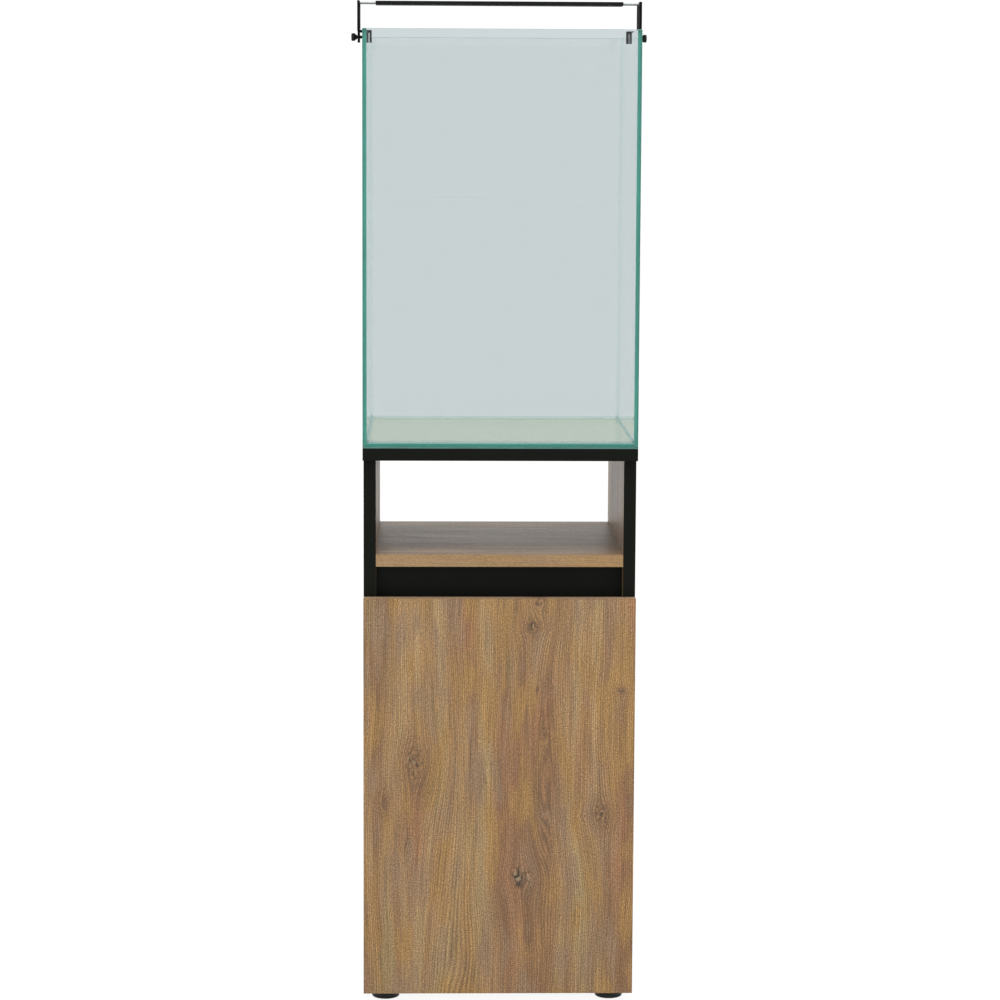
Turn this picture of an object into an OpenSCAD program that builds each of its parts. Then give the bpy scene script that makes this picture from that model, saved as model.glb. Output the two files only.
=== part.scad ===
// Aquarium tower: a cabinet with an open niche and one door, a rimless tank and a clip-on light bar.
// Millimetres. Origin on the floor under the middle of the tank. +X right seen from the front,
// the door faces -Y, +Z up.

/* [Tank] */
// Width of the tank and of the top board
tank_w = 400; // [300:10:600]
// Depth of the tank and of the top board
tank_d = 400; // [340:10:600]
// Height of the glass
tank_h = 600; // [300:10:800]
// Thickness of the panes
glass_t = 6; // [4:1:10]
// Thickness of the foam mat under the tank
mat_t = 2; // [1:0.5:6]
// Leg of the silicone fillets
seam_leg = 3; // [2:0.5:6]

/* [Cabinet] */
// Height from the floor to the top of the top board
cabinet_h = 830; // [800:5:1000]
// Thickness of the boards
board_t = 18; // [16:1:20]
// How far the top board stands out past each side panel
side_inset = 1; // [0:0.5:5]
// Clear height of the open niche
niche_h = 140; // [100:5:180]
// Height of the gap between the door and the niche shelf
grip_h = 44; // [30:1:60]
// Height of the grip rail
rail_h = 80; // [70:1:100]
// How far the grip rail lies behind the front edges of the side panels
rail_setback = 20; // [12:1:40]
// Height of the adjustable shelf's underside
inner_shelf_z = 310; // [260:1:380]
// How far the adjustable shelf lies behind the front edges of the side panels
inner_shelf_setback = 30; // [20:1:60]

/* [Back panel] */
// Thickness of the back panel
back_t = 6; // [3:0.5:8]
// Depth of the grooves that hold the back panel
groove_d = 6; // [4:0.5:8]
// Wood left behind the groove
back_inset = 10; // [6:1:20]
// Diameter of the two hose holes
hose_hole_d = 60; // [40:1:80]
// Distance between the hose holes' centres
hose_hole_pitch = 180; // [100:5:200]
// Distance from the niche shelf's underside down to the hose holes' centres
hose_hole_drop = 75; // [60:1:120]

/* [Door] */
// Thickness of the door
door_t = 18; // [16:1:20]
// Space between the door's back and the side panels
door_gap = 2; // [1.5:0.1:3]
// Distance from the door's ends to the hinge centres
hinge_end = 100; // [60:5:140]
// Diameter of the door bumpers
bumper_d = 8; // [6:0.5:10]
// Distance from the door's ends to the bumpers
bumper_end = 25; // [15:1:40]

/* [Feet] */
// Height of the feet under the boards
foot_h = 18; // [14:1:25]
// Diameter of the feet
foot_d = 41; // [34:1:48]
// Distance from the carcass's outer faces to the feet's centres
foot_inset = 32; // [28:1:40]
// Diameter of the threaded stems
stem_d = 8; // [6:1:8]

/* [Light bar] */
// Depth of the light bar
lamp_d = 40; // [36:1:60]
// Thickness of the light bar
lamp_t = 5.5; // [5:0.5:8]
// Distance from the glass rim up to the light bar's underside
lamp_lift = 41; // [30:0.5:60]
// Bare length of the rods at each end
rod_show = 23.5; // [20:0.5:30]
// Diameter of the rods
rod_d = 2.5; // [2:0.1:3]
// Distance between the two rods of an end
rod_pitch = 28; // [24:1:30]
// Distance between neighbouring lights on the board
led_pitch = 14; // [8:1:20]

/* [Hangers] */
// Thickness of the hangers' plates
hanger_t = 3.5; // [3:0.1:4]
// Depth of the hangers' upper plates
hanger_d = 64; // [50:1:80]
// Depth of the clips that grip the pane
clip_d = 18; // [14:1:24]
// Distance from the pane's outer face to the hanger plate
clip_gap = 7.5; // [7:0.1:9]
// Thickness of the legs inside the tank
leg_t = 3; // [2:0.1:4]
// How far the clips reach down over the rim
clip_drop = 14.5; // [12:0.5:20]
// Diameter of the thumb screws' knobs
knob_d = 11.8; // [9:0.1:14]
// Length of the knobs
knob_l = 7; // [5:0.5:8]
// Diameter of the thumb screws' stems
thumb_d = 5; // [4:0.1:5.5]

/* [Hidden] */
$fn = 48;
// Overshoot of a cut past the face it opens
over = 1;

// Clearances
pin_fit = 0.05;    // running fit of a pin in its bore, on the radius
peg_fit = 0.1;     // fixed fit of a dowel, bolt or screw in its hole, on the radius
seat_gap = 0.3;    // between faces of parts that move past each other
shelf_gap = 0.5;   // at each end of the adjustable shelf
shelf_back_gap = 1;

// Outline of the carcass
carcass_x = tank_w / 2 - side_inset;
inner_x = carcass_x - board_t;
back_y = tank_d / 2;
door_back_y = -tank_d / 2 + door_t;
front_y = door_back_y + door_gap;
top_z = cabinet_h - board_t;
shelf_top_z = top_z - niche_h;
shelf_z = shelf_top_z - board_t;
floor_top_z = foot_h + board_t;
door_top_z = shelf_z - grip_h;
rail_y = front_y + rail_setback;
rail_z = shelf_z - rail_h;

// Back panel and its groove
panel_y = back_y - back_inset - back_t;

// Places of the board fasteners, from the front and back edges of the carcass
cam_inset = 90;
dowel_inset = 122;
cam_ys = [front_y + cam_inset, back_y - cam_inset];
dowel_ys = [front_y + dowel_inset, back_y - dowel_inset];
top_dowel_inset = 40;
top_dowel_ys = [front_y + top_dowel_inset, (front_y + back_y) / 2, back_y - top_dowel_inset];
rail_dowel_up = 22;    // above the rail's underside
rail_dowel_z = rail_z + rail_dowel_up;
rail_cam_down = 26;    // below the rail's top
rail_cam_z = shelf_z - rail_cam_down;

// Board fasteners
dowel_d = 8;
dowel_l = 30;
dowel_in_top = 12;
cam_d = 15;
cam_depth = 12.5;
cam_reach = 34;
cam_slot = 7.8;
drive_half = 4;        // the cross for the screwdriver
drive_slot = 1.2;
drive_deep = 1.5;
bolt_d = 6;
bolt_thread = 11;
bolt_head_d = 7;
bolt_neck_d = 4;
bolt_neck_l = 8;
bolt_head_l = 3;
bolt_bore_d = 8;

// Adjustable shelf and the rows of holes for its pins
pin_d = 5;
pin_depth = 9;
tongue_l = 10;
tongue_w = 12;
tongue_t = 3;
pin_front = 50;
pin_back = 44;
pin_ys = [front_y + pin_front, panel_y - pin_back];
pin_row_pitch = 32;
pin_row_count = 2;   // holes above and below the one in use
pin_z = inner_shelf_z - pin_d / 2;

// Feet
foot_x = carcass_x - foot_inset;
foot_front_y = front_y + foot_inset;
foot_back_y = back_y - foot_inset;
foot_round = 2.5;
insert_d = stem_d + 2.6;
insert_l = 12;
stem_l = 14;
stem_room = 15;

// Hinges, in plan: [distance from the side panel's inner face, distance behind the door's back]
hinge_zs = [foot_h + hinge_end, door_top_z - hinge_end];
cup_d = 34.8;
cup_l = 12.4;
cup_wall = 1;
cup_edge = 22.5;
cup_u = cup_edge - board_t;
flange_t = 1.2;
flange_r = 19;
ear_u = cup_u + 9.5;
ear_w = 22.5;
ear_r = 6;
lug_w = 7.2;
lug_us = [-12, 1.5];
lug_v = -0.6;
outer_root = [15.1, 21.7];
outer_knee = [-2.3, -4.6];
outer_door = [-8.2, -2.7];
inner_root = [16, -7.9];
inner_door = [-1.9, -7.65];
arm_elbow = [9.5, 20];
arm_foot = [7, 37];
hinge_pin_d = 2.5;
eye_r = 2.6;
link_r = 1.25;
arm_r = 3;
inner_half = 2.4;      // half the thickness of the inner link
outer_from = 2.8;      // the two outer links lie either side of it
outer_t = 2;
cheek_from = 5.2;      // and the arm's cheeks outside those
cheek_t = 1.6;
arm_half = cheek_from + cheek_t;
cup_pin_half = 9.2;
plate_t = 2.5;
plate_vs = [28, 64];
plate_half = 8;
wing_v = 37;
wing_half_v = 5.5;
wing_half = 22;
plate_screw_w = 16;
arm_web_v = 27;
arm_top_u = 11;
arm_screw_vs = [45, 57];
screw_d = 3.5;
screw_l = 12;
screw_head_d = 7;
screw_head_t = 2;
screw_head_top_d = 4;
screw_sink = 0.2;      // how far a shank reaches into its head
clamp_screw_d = 6;
clamp_screw_t = 1.6;
clamp_slot_half = 2;
clamp_slot_w = 1;
clamp_slot_deep = 1;
bumper_t = door_gap - seat_gap;

// Tank
tank_z = cabinet_h + mat_t;
rim_z = tank_z + tank_h;
pane_x = tank_w / 2;
pane_in_x = pane_x - glass_t;
pane_in_y = tank_d / 2 - glass_t;
tank_floor_z = tank_z + glass_t;

// Light bar and hangers
lamp_z = rim_z + lamp_lift;
lamp_top_z = lamp_z + lamp_t;
hanger_in_x = pane_x + clip_gap;
hanger_x = hanger_in_x + hanger_t;
lamp_x = hanger_in_x - rod_show;
cap_t = 2;
housing_x = lamp_x - cap_t;
rod_z = lamp_z + lamp_t / 2;
rod_in = 45;
rod_room = 64;
housing_round = 1.2;
recess_d = 18;
recess_t = 3;
recess_end = 12;
recess_x = housing_x - recess_end;
diffuser_t = 1;
board_pcb_t = 1.2;
led_size = 3;
led_t = 0.7;
leds_each_side = floor((recess_x - led_size) / led_pitch);
inlet_d = 3.8;
inlet_bore_d = 2.2;
inlet_pin_d = 0.9;
inlet_l = 6.5;
clip_top_z = rim_z + seat_gap + hanger_t;
clip_low_z = rim_z - clip_drop;
plate_lift = 2;
plate_low_z = rim_z + plate_lift;
thumb_drop = 6.5;
thumb_z = rim_z - thumb_drop;
leg_gap = 0.8;
leg_x = pane_in_x - leg_gap;
pad_d = 9;
pad_t = 3;
pad_gap = 0.1;
pad_socket = 1.5;
pad_out_x = pane_x + pad_gap + pad_t;
thumb_tip_x = pad_out_x - pad_socket + pad_gap;
knob_gap = 2.5;
knob_x = hanger_x + knob_gap;
knob_notches = 16;
knob_notch_d = 1.6;
neck_l = 1.6;
neck_d = thumb_d + 2;

oak = "#9a8060";
black = "#1b1e1b";
steel = "#b9bcc0";

module span(lo, hi) {
  translate(lo) cube(hi - lo);
}

// A plan bar with round ends of radius r, from p to q; its sides lie a little inside the ends' tangents
module bar(p, q, r) {
  run = q - p;
  half = 0.99 * r;
  translate(p) circle(r);
  translate(q) circle(r);
  translate(p) rotate(atan2(run[1], run[0])) translate([0, -half]) square([norm(run), 2 * half]);
}

// Children on the left as drawn, and mirrored on the right
module both_sides() {
  children();
  mirror([1, 0, 0]) children();
}

module left_or_right(side) {
  if (side > 0) mirror([1, 0, 0]) children();
  else children();
}

// A cylinder along X from x0 to x1
module rod_x(x0, x1, d) {
  translate([x0, 0, 0]) rotate([0, 90, 0]) cylinder(d = d, h = x1 - x0);
}

// Board fasteners: at a board's end, +X runs into the board and -Z faces the drilled side
module at_board_ends(places) {
  for (y = places, z = [foot_h + board_t / 2, shelf_z + board_t / 2])
    translate([-inner_x, y, z]) children();
}

module at_cams() {
  at_board_ends(cam_ys) children();
  translate([-inner_x, rail_y + board_t / 2, rail_cam_z]) rotate([90, 0, 0]) children();
}

module at_dowels() {
  at_board_ends(dowel_ys) children();
  translate([-inner_x, rail_y + board_t / 2, rail_dowel_z]) children();
}

module dowel_cuts() {
  at_dowels() rod_x(-dowel_l / 2 - peg_fit, dowel_l / 2 + peg_fit, dowel_d + 2 * peg_fit);
}

module at_top_dowels() {
  for (y = top_dowel_ys) translate([-carcass_x + board_t / 2, y, top_z]) children();
}

module top_dowel_cuts() {
  at_top_dowels() translate([0, 0, dowel_in_top - dowel_l - peg_fit])
    cylinder(d = dowel_d + 2 * peg_fit, h = dowel_l + 2 * peg_fit);
}

module cam_cuts() {
  at_cams() {
    rod_x(-bolt_thread - peg_fit, 0, bolt_d + 2 * peg_fit);
    rod_x(0, cam_reach, bolt_bore_d);
    translate([cam_reach, 0, -board_t / 2 - over]) cylinder(d = cam_d, h = cam_depth + over);
  }
}

// The underside of the bottom board over the left feet
module at_feet() {
  for (y = [foot_front_y, foot_back_y]) translate([-foot_x, y, foot_h]) children();
}

module side_panel(side) {
  color(black) left_or_right(side) difference() {
    span([-carcass_x, front_y, foot_h], [-inner_x, back_y, top_z]);
    span([-inner_x - groove_d, panel_y, floor_top_z - groove_d],
         [-inner_x + over, panel_y + back_t, shelf_z + groove_d]);
    for (y = pin_ys, i = [-pin_row_count:pin_row_count])
      translate([-inner_x, y, pin_z + i * pin_row_pitch])
        rod_x(-pin_depth - peg_fit, over, pin_d + 2 * peg_fit);
    dowel_cuts();
    cam_cuts();
    top_dowel_cuts();
    if (side < 0) at_hinges(hinge_zs) at_plate_screws()
      rod_x(-screw_l, over, screw_d + 2 * peg_fit);
  }
}

module top_board() {
  color(black) difference() {
    span([-tank_w / 2, -tank_d / 2, top_z], [tank_w / 2, tank_d / 2, cabinet_h]);
    both_sides() top_dowel_cuts();
  }
}

module niche_shelf() {
  color(oak) difference() {
    span([-inner_x, front_y, shelf_z], [inner_x, back_y, shelf_top_z]);
    span([-inner_x - over, panel_y, shelf_z - over], [inner_x + over, panel_y + back_t, shelf_z + groove_d]);
    both_sides() {
      dowel_cuts();
      cam_cuts();
    }
  }
}

module grip_rail() {
  color(black) difference() {
    span([-inner_x, rail_y, rail_z], [inner_x, rail_y + board_t, shelf_z]);
    both_sides() {
      dowel_cuts();
      cam_cuts();
    }
  }
}

module bottom_board() {
  color(oak) difference() {
    span([-inner_x, front_y, foot_h], [inner_x, back_y, floor_top_z]);
    span([-inner_x - over, panel_y, floor_top_z - groove_d],
         [inner_x + over, panel_y + back_t, floor_top_z + over]);
    both_sides() {
      dowel_cuts();
      cam_cuts();
      at_feet() translate([0, 0, -over]) {
        cylinder(d = insert_d + 2 * peg_fit, h = insert_l + over);
        cylinder(d = stem_d + 1, h = stem_room + over);
      }
    }
  }
}

module back_panel() {
  hole_z = shelf_z - hose_hole_drop;
  color(oak) difference() {
    span([-inner_x - groove_d, panel_y, floor_top_z - groove_d],
         [inner_x + groove_d, panel_y + back_t, shelf_z + groove_d]);
    both_sides() translate([-hose_hole_pitch / 2, panel_y - over, hole_z])
      rotate([-90, 0, 0]) cylinder(d = hose_hole_d, h = back_t + 2 * over, $fn = 96);
  }
}

module inner_shelf() {
  color(oak)
    span([-inner_x + shelf_gap, front_y + inner_shelf_setback, inner_shelf_z],
         [inner_x - shelf_gap, panel_y - shelf_back_gap, inner_shelf_z + board_t]);
}

module shelf_pins() {
  color(steel) both_sides() for (y = pin_ys) translate([-inner_x, y, 0]) {
    translate([0, 0, pin_z]) rod_x(-pin_depth, 0, pin_d);
    span([0, -tongue_w / 2, inner_shelf_z - tongue_t], [tongue_l, tongue_w / 2, inner_shelf_z]);
  }
}

module dowels() {
  color("#c8a878") both_sides() {
    at_dowels() rod_x(-dowel_l / 2, dowel_l / 2, dowel_d);
    at_top_dowels() translate([0, 0, dowel_in_top - dowel_l]) cylinder(d = dowel_d, h = dowel_l);
  }
}

module cam_locks() {
  color(steel) both_sides() at_cams() translate([cam_reach, 0, -board_t / 2]) difference() {
    cylinder(d = cam_d - 2 * peg_fit, h = cam_depth - peg_fit);
    span([-cam_d, -cam_slot / 2, board_t / 2 - cam_slot / 2], [cam_slot / 2, cam_slot / 2, cam_depth + over]);
    for (turn = [0, 90]) rotate(turn)
      span([-drive_half, -drive_slot / 2, -over], [drive_half, drive_slot / 2, drive_deep]);
  }
}

module cam_bolts() {
  color(steel) both_sides() at_cams() {
    rod_x(-bolt_thread, cam_reach - bolt_neck_l, bolt_d);
    rod_x(cam_reach - bolt_neck_l, cam_reach, bolt_neck_d);
    rod_x(cam_reach, cam_reach + bolt_head_l, bolt_head_d);
  }
}

module foot_inserts() {
  color(steel) both_sides() at_feet() difference() {
    cylinder(d = insert_d, h = insert_l);
    translate([0, 0, -over]) cylinder(d = stem_d + 2 * pin_fit, h = insert_l + 2 * over);
  }
}

// A foot: a flat disc with a rounded rim, and its stem
module foot(side, y) {
  top = foot_h - seat_gap;
  color("#161616") translate([side * foot_x, y, 0]) {
    rotate_extrude($fn = 72) {
      square([foot_d / 2 - foot_round, top]);
      translate([0, foot_round]) square([foot_d / 2, top - 2 * foot_round]);
      for (z = [foot_round, top - foot_round]) translate([foot_d / 2 - foot_round, z]) circle(foot_round);
    }
    translate([0, 0, top / 2]) cylinder(d = stem_d, h = foot_h + stem_l - top / 2);
  }
}

// Hinge frame: origin where the side panel's inner face meets the plane of the door's back
module at_hinges(heights) {
  for (z = heights) translate([-inner_x, door_back_y, z]) children();
}

module at_plate_screws() {
  for (w = [-plate_screw_w, plate_screw_w]) translate([0, wing_v, w]) children();
}

module at_cup_screws() {
  for (w = [-ear_w, ear_w]) translate([ear_u, 0, w]) rotate([90, 0, 0]) children();
}

module door_panel() {
  color(oak) difference() {
    span([-carcass_x, -tank_d / 2, foot_h], [carcass_x, door_back_y, door_top_z]);
    at_hinges(hinge_zs) {
      translate([cup_u, over, 0]) rotate([90, 0, 0])
        cylinder(d = cup_d + 2 * peg_fit, h = cup_l + peg_fit + over, $fn = 96);
      at_cup_screws() translate([0, 0, -over]) cylinder(d = screw_d + 2 * peg_fit, h = screw_l + over);
    }
  }
}

module door_bumpers() {
  color("#e8ecec") for (z = [foot_h + bumper_end, door_top_z - bumper_end])
    translate([carcass_x - board_t / 2, door_back_y, z]) rotate([-90, 0, 0]) {
      cylinder(d = bumper_d, h = bumper_t / 2);
      translate([0, 0, bumper_t / 2]) cylinder(d1 = bumper_d, d2 = bumper_d - 2, h = bumper_t / 2);
    }
}

module hinge_cup(z) {
  color(steel) at_hinges([z]) difference() {
    union() {
      translate([cup_u, 0, 0]) rotate([90, 0, 0]) difference() {
        cylinder(d = cup_d, h = cup_l, $fn = 96);
        translate([0, 0, -over]) cylinder(d = cup_d - 2 * cup_wall, h = cup_l - cup_wall + over, $fn = 96);
      }
      rotate([90, 0, 0]) translate([0, 0, -flange_t]) linear_extrude(flange_t) difference() {
        union() {
          translate([cup_u, 0]) circle(flange_r, $fn = 96);
          bar([ear_u, -ear_w], [ear_u, ear_w], ear_r);
        }
        translate([cup_u, 0]) circle(cup_d / 2 - cup_wall, $fn = 96);
      }
      intersection() {
        translate([cup_u, 0, 0]) rotate([90, 0, 0])
          cylinder(d = cup_d - cup_wall, h = cup_l - cup_wall / 2, $fn = 96);
        for (w = [-cup_d / 2, lug_w])
          span([lug_us[0], -cup_l, w], [lug_us[1], lug_v, w + cup_d / 2 - lug_w]);
      }
    }
    for (p = [outer_door, inner_door]) translate([p[0], p[1], -cup_pin_half - pin_fit])
      cylinder(d = hinge_pin_d + 2 * pin_fit, h = 2 * (cup_pin_half + pin_fit));
    at_cup_screws() translate([0, 0, -flange_t - over])
      cylinder(d = screw_d + 2 * peg_fit, h = flange_t + 2 * over);
  }
}

module hinge_arm(z) {
  color(steel) at_hinges([z]) difference() {
    union() {
      for (w = [-arm_half, cheek_from]) translate([0, 0, w]) linear_extrude(cheek_t) {
        bar(inner_root, arm_elbow, arm_r);
        bar(outer_root, arm_elbow, arm_r);
        bar(arm_elbow, arm_foot, arm_r);
      }
      translate([0, 0, -arm_half]) linear_extrude(2 * arm_half)
        translate([plate_t, arm_web_v]) square([arm_top_u - plate_t, plate_vs[1] - arm_web_v]);
    }
    for (p = [outer_root, inner_root]) translate([p[0], p[1], -arm_half - over])
      cylinder(d = hinge_pin_d + 2 * pin_fit, h = 2 * (arm_half + over));
    for (v = arm_screw_vs) translate([0, v, 0])
      rod_x(arm_top_u - clamp_screw_t - peg_fit, arm_top_u + over, clamp_screw_d + 2 * peg_fit);
  }
}

module hinge_plate(z) {
  color(steel) at_hinges([z]) difference() {
    union() {
      span([0, plate_vs[0], -plate_half], [plate_t, plate_vs[1], plate_half]);
      span([0, wing_v - wing_half_v, -wing_half], [plate_t, wing_v + wing_half_v, wing_half]);
    }
    at_plate_screws() rod_x(-over, plate_t + over, screw_d + 2 * peg_fit);
  }
}

// The two outer links of a hinge, one above and one below the inner link
module outer_links(z) {
  color(steel) at_hinges([z]) for (w = [-outer_from - outer_t, outer_from]) translate([0, 0, w])
    linear_extrude(outer_t) difference() {
      union() {
        bar(outer_door, outer_knee, link_r);
        bar(outer_knee, outer_root, link_r);
        translate(outer_door) circle(eye_r);
        translate(outer_root) circle(eye_r);
      }
      for (p = [outer_door, outer_root]) translate(p) circle(hinge_pin_d / 2 + pin_fit);
    }
}

// The inner link: its end in the cup is left free of the stub pins, which lie above and below it
module inner_link(z) {
  color(steel) at_hinges([z]) translate([0, 0, -inner_half]) linear_extrude(2 * inner_half) difference() {
    union() {
      bar(inner_door, inner_root, link_r);
      translate(inner_door) circle(eye_r);
      translate(inner_root) circle(eye_r);
    }
    for (p = [inner_door, inner_root]) translate(p) circle(hinge_pin_d / 2 + pin_fit);
  }
}

module hinge_cup_screws() {
  color(steel) at_hinges(hinge_zs) at_cup_screws() {
    translate([0, 0, -flange_t - screw_head_t])
      cylinder(d1 = screw_head_top_d, d2 = screw_head_d, h = screw_head_t);
    translate([0, 0, -flange_t - screw_sink]) cylinder(d = screw_d, h = screw_l);
  }
}

module hinge_plate_screws() {
  color(steel) at_hinges(hinge_zs) at_plate_screws() {
    translate([plate_t, 0, 0]) rotate([0, 90, 0])
      cylinder(d1 = screw_head_d, d2 = screw_head_top_d, h = screw_head_t);
    rod_x(plate_t + screw_sink - screw_l, plate_t + screw_sink, screw_d);
  }
}

module hinge_arm_screws() {
  color(steel) at_hinges(hinge_zs) for (v = arm_screw_vs) translate([0, v, 0]) difference() {
    rod_x(arm_top_u - clamp_screw_t, arm_top_u, clamp_screw_d);
    for (turn = [0, 90]) rotate([turn, 0, 0])
      span([arm_top_u - clamp_slot_deep, -clamp_slot_w / 2, -clamp_slot_half],
           [arm_top_u + over, clamp_slot_w / 2, clamp_slot_half]);
  }
}

module hinge_arm_pins() {
  color("#8b8e92") at_hinges(hinge_zs) for (p = [outer_root, inner_root])
    translate([p[0], p[1], -arm_half]) cylinder(d = hinge_pin_d, h = 2 * arm_half);
}

module hinge_cup_pins() {
  stub_from = inner_half + seat_gap;
  color("#8b8e92") at_hinges(hinge_zs) {
    translate([outer_door[0], outer_door[1], -cup_pin_half]) cylinder(d = hinge_pin_d, h = 2 * cup_pin_half);
    for (w = [-cup_pin_half, stub_from]) translate([inner_door[0], inner_door[1], w])
      cylinder(d = hinge_pin_d, h = cup_pin_half - stub_from);
  }
}

module foam_mat() {
  color("#6d7672") span([-pane_x, -tank_d / 2, cabinet_h], [pane_x, tank_d / 2, tank_z]);
}

// Front and back panes run the full width, the side panes stand between them
module long_pane(side) {
  color("#9fd8c8", 0.4) translate([0, side * (tank_d / 2 - glass_t / 2), tank_z])
    span([-pane_x, -glass_t / 2, 0], [pane_x, glass_t / 2, tank_h]);
}

module side_pane(side) {
  color("#9fd8c8", 0.4) translate([side * (pane_x - glass_t / 2), 0, tank_z])
    span([-glass_t / 2, -pane_in_y, 0], [glass_t / 2, pane_in_y, tank_h]);
}

module pane_bottom() {
  color("#9fd8c8", 0.4) span([-pane_in_x, -pane_in_y, tank_z], [pane_in_x, pane_in_y, tank_floor_z]);
}

// A fillet of the given length along +Z in the corner where +X and +Y start
module fillet(l) {
  linear_extrude(l) polygon([[0, 0], [seam_leg, 0], [0, seam_leg]]);
}

module silicone_seams() {
  color("#dfe8e6", 0.6) {
    for (turn = [0, 180]) rotate(turn) {
      translate([-pane_in_x, -pane_in_y, tank_floor_z]) fillet(tank_h - glass_t);
      translate([pane_in_x, -pane_in_y, tank_floor_z]) rotate(90) fillet(tank_h - glass_t);
      translate([-pane_in_x, -pane_in_y, tank_floor_z]) rotate([90, 0, 90]) fillet(2 * pane_in_x);
      translate([-pane_in_x, pane_in_y, tank_floor_z]) rotate([90, 0, 0]) fillet(2 * pane_in_y);
    }
  }
}

// A hanger: upper plate with the rods, bridge over the rim, outer tab with the screw, inner leg
module hanger(side) {
  color(black) left_or_right(side) difference() {
    union() {
      span([-hanger_x, -hanger_d / 2, plate_low_z], [-hanger_in_x, hanger_d / 2, lamp_top_z]);
      span([-hanger_x, -clip_d / 2, clip_low_z], [-hanger_in_x, clip_d / 2, lamp_top_z]);
      span([-hanger_x, -clip_d / 2, rim_z + seat_gap], [-leg_x + leg_t, clip_d / 2, clip_top_z]);
      span([-leg_x, -clip_d / 2, clip_low_z], [-leg_x + leg_t, clip_d / 2, clip_top_z]);
    }
    translate([0, 0, thumb_z]) rod_x(-hanger_x - over, -hanger_in_x + over, thumb_d + 2 * pin_fit);
    for (y = [-rod_pitch / 2, rod_pitch / 2]) translate([0, y, rod_z])
      rod_x(-hanger_x - over, -hanger_in_x + over, rod_d + 2 * pin_fit);
  }
}

module rods(side) {
  color("#9a9da0") left_or_right(side) for (y = [-rod_pitch / 2, rod_pitch / 2])
    translate([0, y, rod_z]) rod_x(-hanger_x, -lamp_x + rod_in, rod_d);
}

module rod_bores() {
  both_sides() for (y = [-rod_pitch / 2, rod_pitch / 2])
    translate([0, y, rod_z]) rod_x(-lamp_x - over, -lamp_x + rod_room, rod_d + 2 * pin_fit);
}

// The light bar's section, with rounded long edges
module lamp_section() {
  for (y = [-1, 1], z = [housing_round, lamp_t - housing_round])
    translate([y * (lamp_d / 2 - housing_round), z]) circle(housing_round);
  translate([-lamp_d / 2, housing_round]) square([lamp_d, lamp_t - 2 * housing_round]);
  translate([housing_round - lamp_d / 2, 0]) square([lamp_d - 2 * housing_round, lamp_t]);
}

// The light bar's section drawn along X from x0 to x1
module lamp_prism(x0, x1) {
  translate([x0, 0, lamp_z]) rotate([90, 0, 90]) linear_extrude(x1 - x0) lamp_section();
}

module lamp_housing() {
  color(black) difference() {
    lamp_prism(-housing_x, housing_x);
    span([-recess_x, -recess_d / 2, lamp_z - over], [recess_x, recess_d / 2, lamp_z + recess_t]);
    rod_bores();
    translate([0, 0, rod_z]) rod_x(lamp_x - inlet_l, lamp_x, inlet_d + 2 * peg_fit);
  }
}

module lamp_diffuser() {
  color("#e9eceb")
    span([-recess_x, -recess_d / 2, lamp_z], [recess_x, recess_d / 2, lamp_z + diffuser_t]);
}

module led_board() {
  board_z = lamp_z + recess_t - board_pcb_t;
  color("#dfe6dc") {
    span([-recess_x, -recess_d / 2, board_z], [recess_x, recess_d / 2, board_z + board_pcb_t]);
    for (i = [-leds_each_side:leds_each_side]) translate([i * led_pitch, 0, board_z])
      span([-led_size / 2, -led_size / 2, -led_t], [led_size / 2, led_size / 2, 0]);
  }
}

module end_cap(side) {
  color(black) difference() {
    left_or_right(side) lamp_prism(-lamp_x, -housing_x);
    rod_bores();
    if (side > 0) translate([0, 0, rod_z]) rod_x(housing_x - over, lamp_x + over, inlet_d + 2 * peg_fit);
  }
}

module lamp_inlet() {
  floor_t = 1;
  color(steel) translate([0, 0, rod_z]) {
    difference() {
      rod_x(lamp_x - inlet_l, lamp_x, inlet_d);
      rod_x(lamp_x - inlet_l + floor_t, lamp_x + over, inlet_bore_d);
    }
    rod_x(lamp_x - inlet_l + floor_t / 2, lamp_x - 1, inlet_pin_d);
  }
}

// A thumb screw: knob with finger notches, neck and stem
module thumb_screw(side) {
  color(black) left_or_right(side) translate([0, 0, thumb_z]) {
    rod_x(-knob_x - knob_l / 2, -thumb_tip_x, thumb_d);
    rod_x(-knob_x, -knob_x + neck_l, neck_d);
    difference() {
      rod_x(-knob_x - knob_l, -knob_x, knob_d);
      for (i = [0:knob_notches - 1]) rotate([i * 360 / knob_notches, 0, 0])
        translate([0, knob_d / 2 + knob_notch_d / 4, 0])
          rod_x(-knob_x - knob_l - over, -knob_x + over, knob_notch_d);
    }
  }
}

module screw_pad(side) {
  color("#141414") left_or_right(side) translate([0, 0, thumb_z]) difference() {
    rod_x(-pad_out_x, -pane_x - pad_gap, pad_d);
    rod_x(-pad_out_x - over, -pad_out_x + pad_socket, thumb_d + 2 * pad_gap);
  }
}

side_panel(-1);  // side_panel_left
side_panel(1);  // side_panel_right
top_board();
niche_shelf();
grip_rail();
bottom_board();
back_panel();
inner_shelf();
shelf_pins();
dowels();
cam_locks();
cam_bolts();
foot_inserts();
foot(-1, foot_front_y);  // foot_front_left
foot(1, foot_front_y);  // foot_front_right
foot(-1, foot_back_y);  // foot_back_left
foot(1, foot_back_y);  // foot_back_right
door_panel();
door_bumpers();
hinge_cup(hinge_zs[1]);  // hinge_cup_upper
hinge_cup(hinge_zs[0]);  // hinge_cup_lower
hinge_arm(hinge_zs[1]);  // hinge_arm_upper
hinge_arm(hinge_zs[0]);  // hinge_arm_lower
hinge_plate(hinge_zs[1]);  // hinge_plate_upper
hinge_plate(hinge_zs[0]);  // hinge_plate_lower
outer_links(hinge_zs[1]);  // outer_links_upper
outer_links(hinge_zs[0]);  // outer_links_lower
inner_link(hinge_zs[1]);  // inner_link_upper
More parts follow.
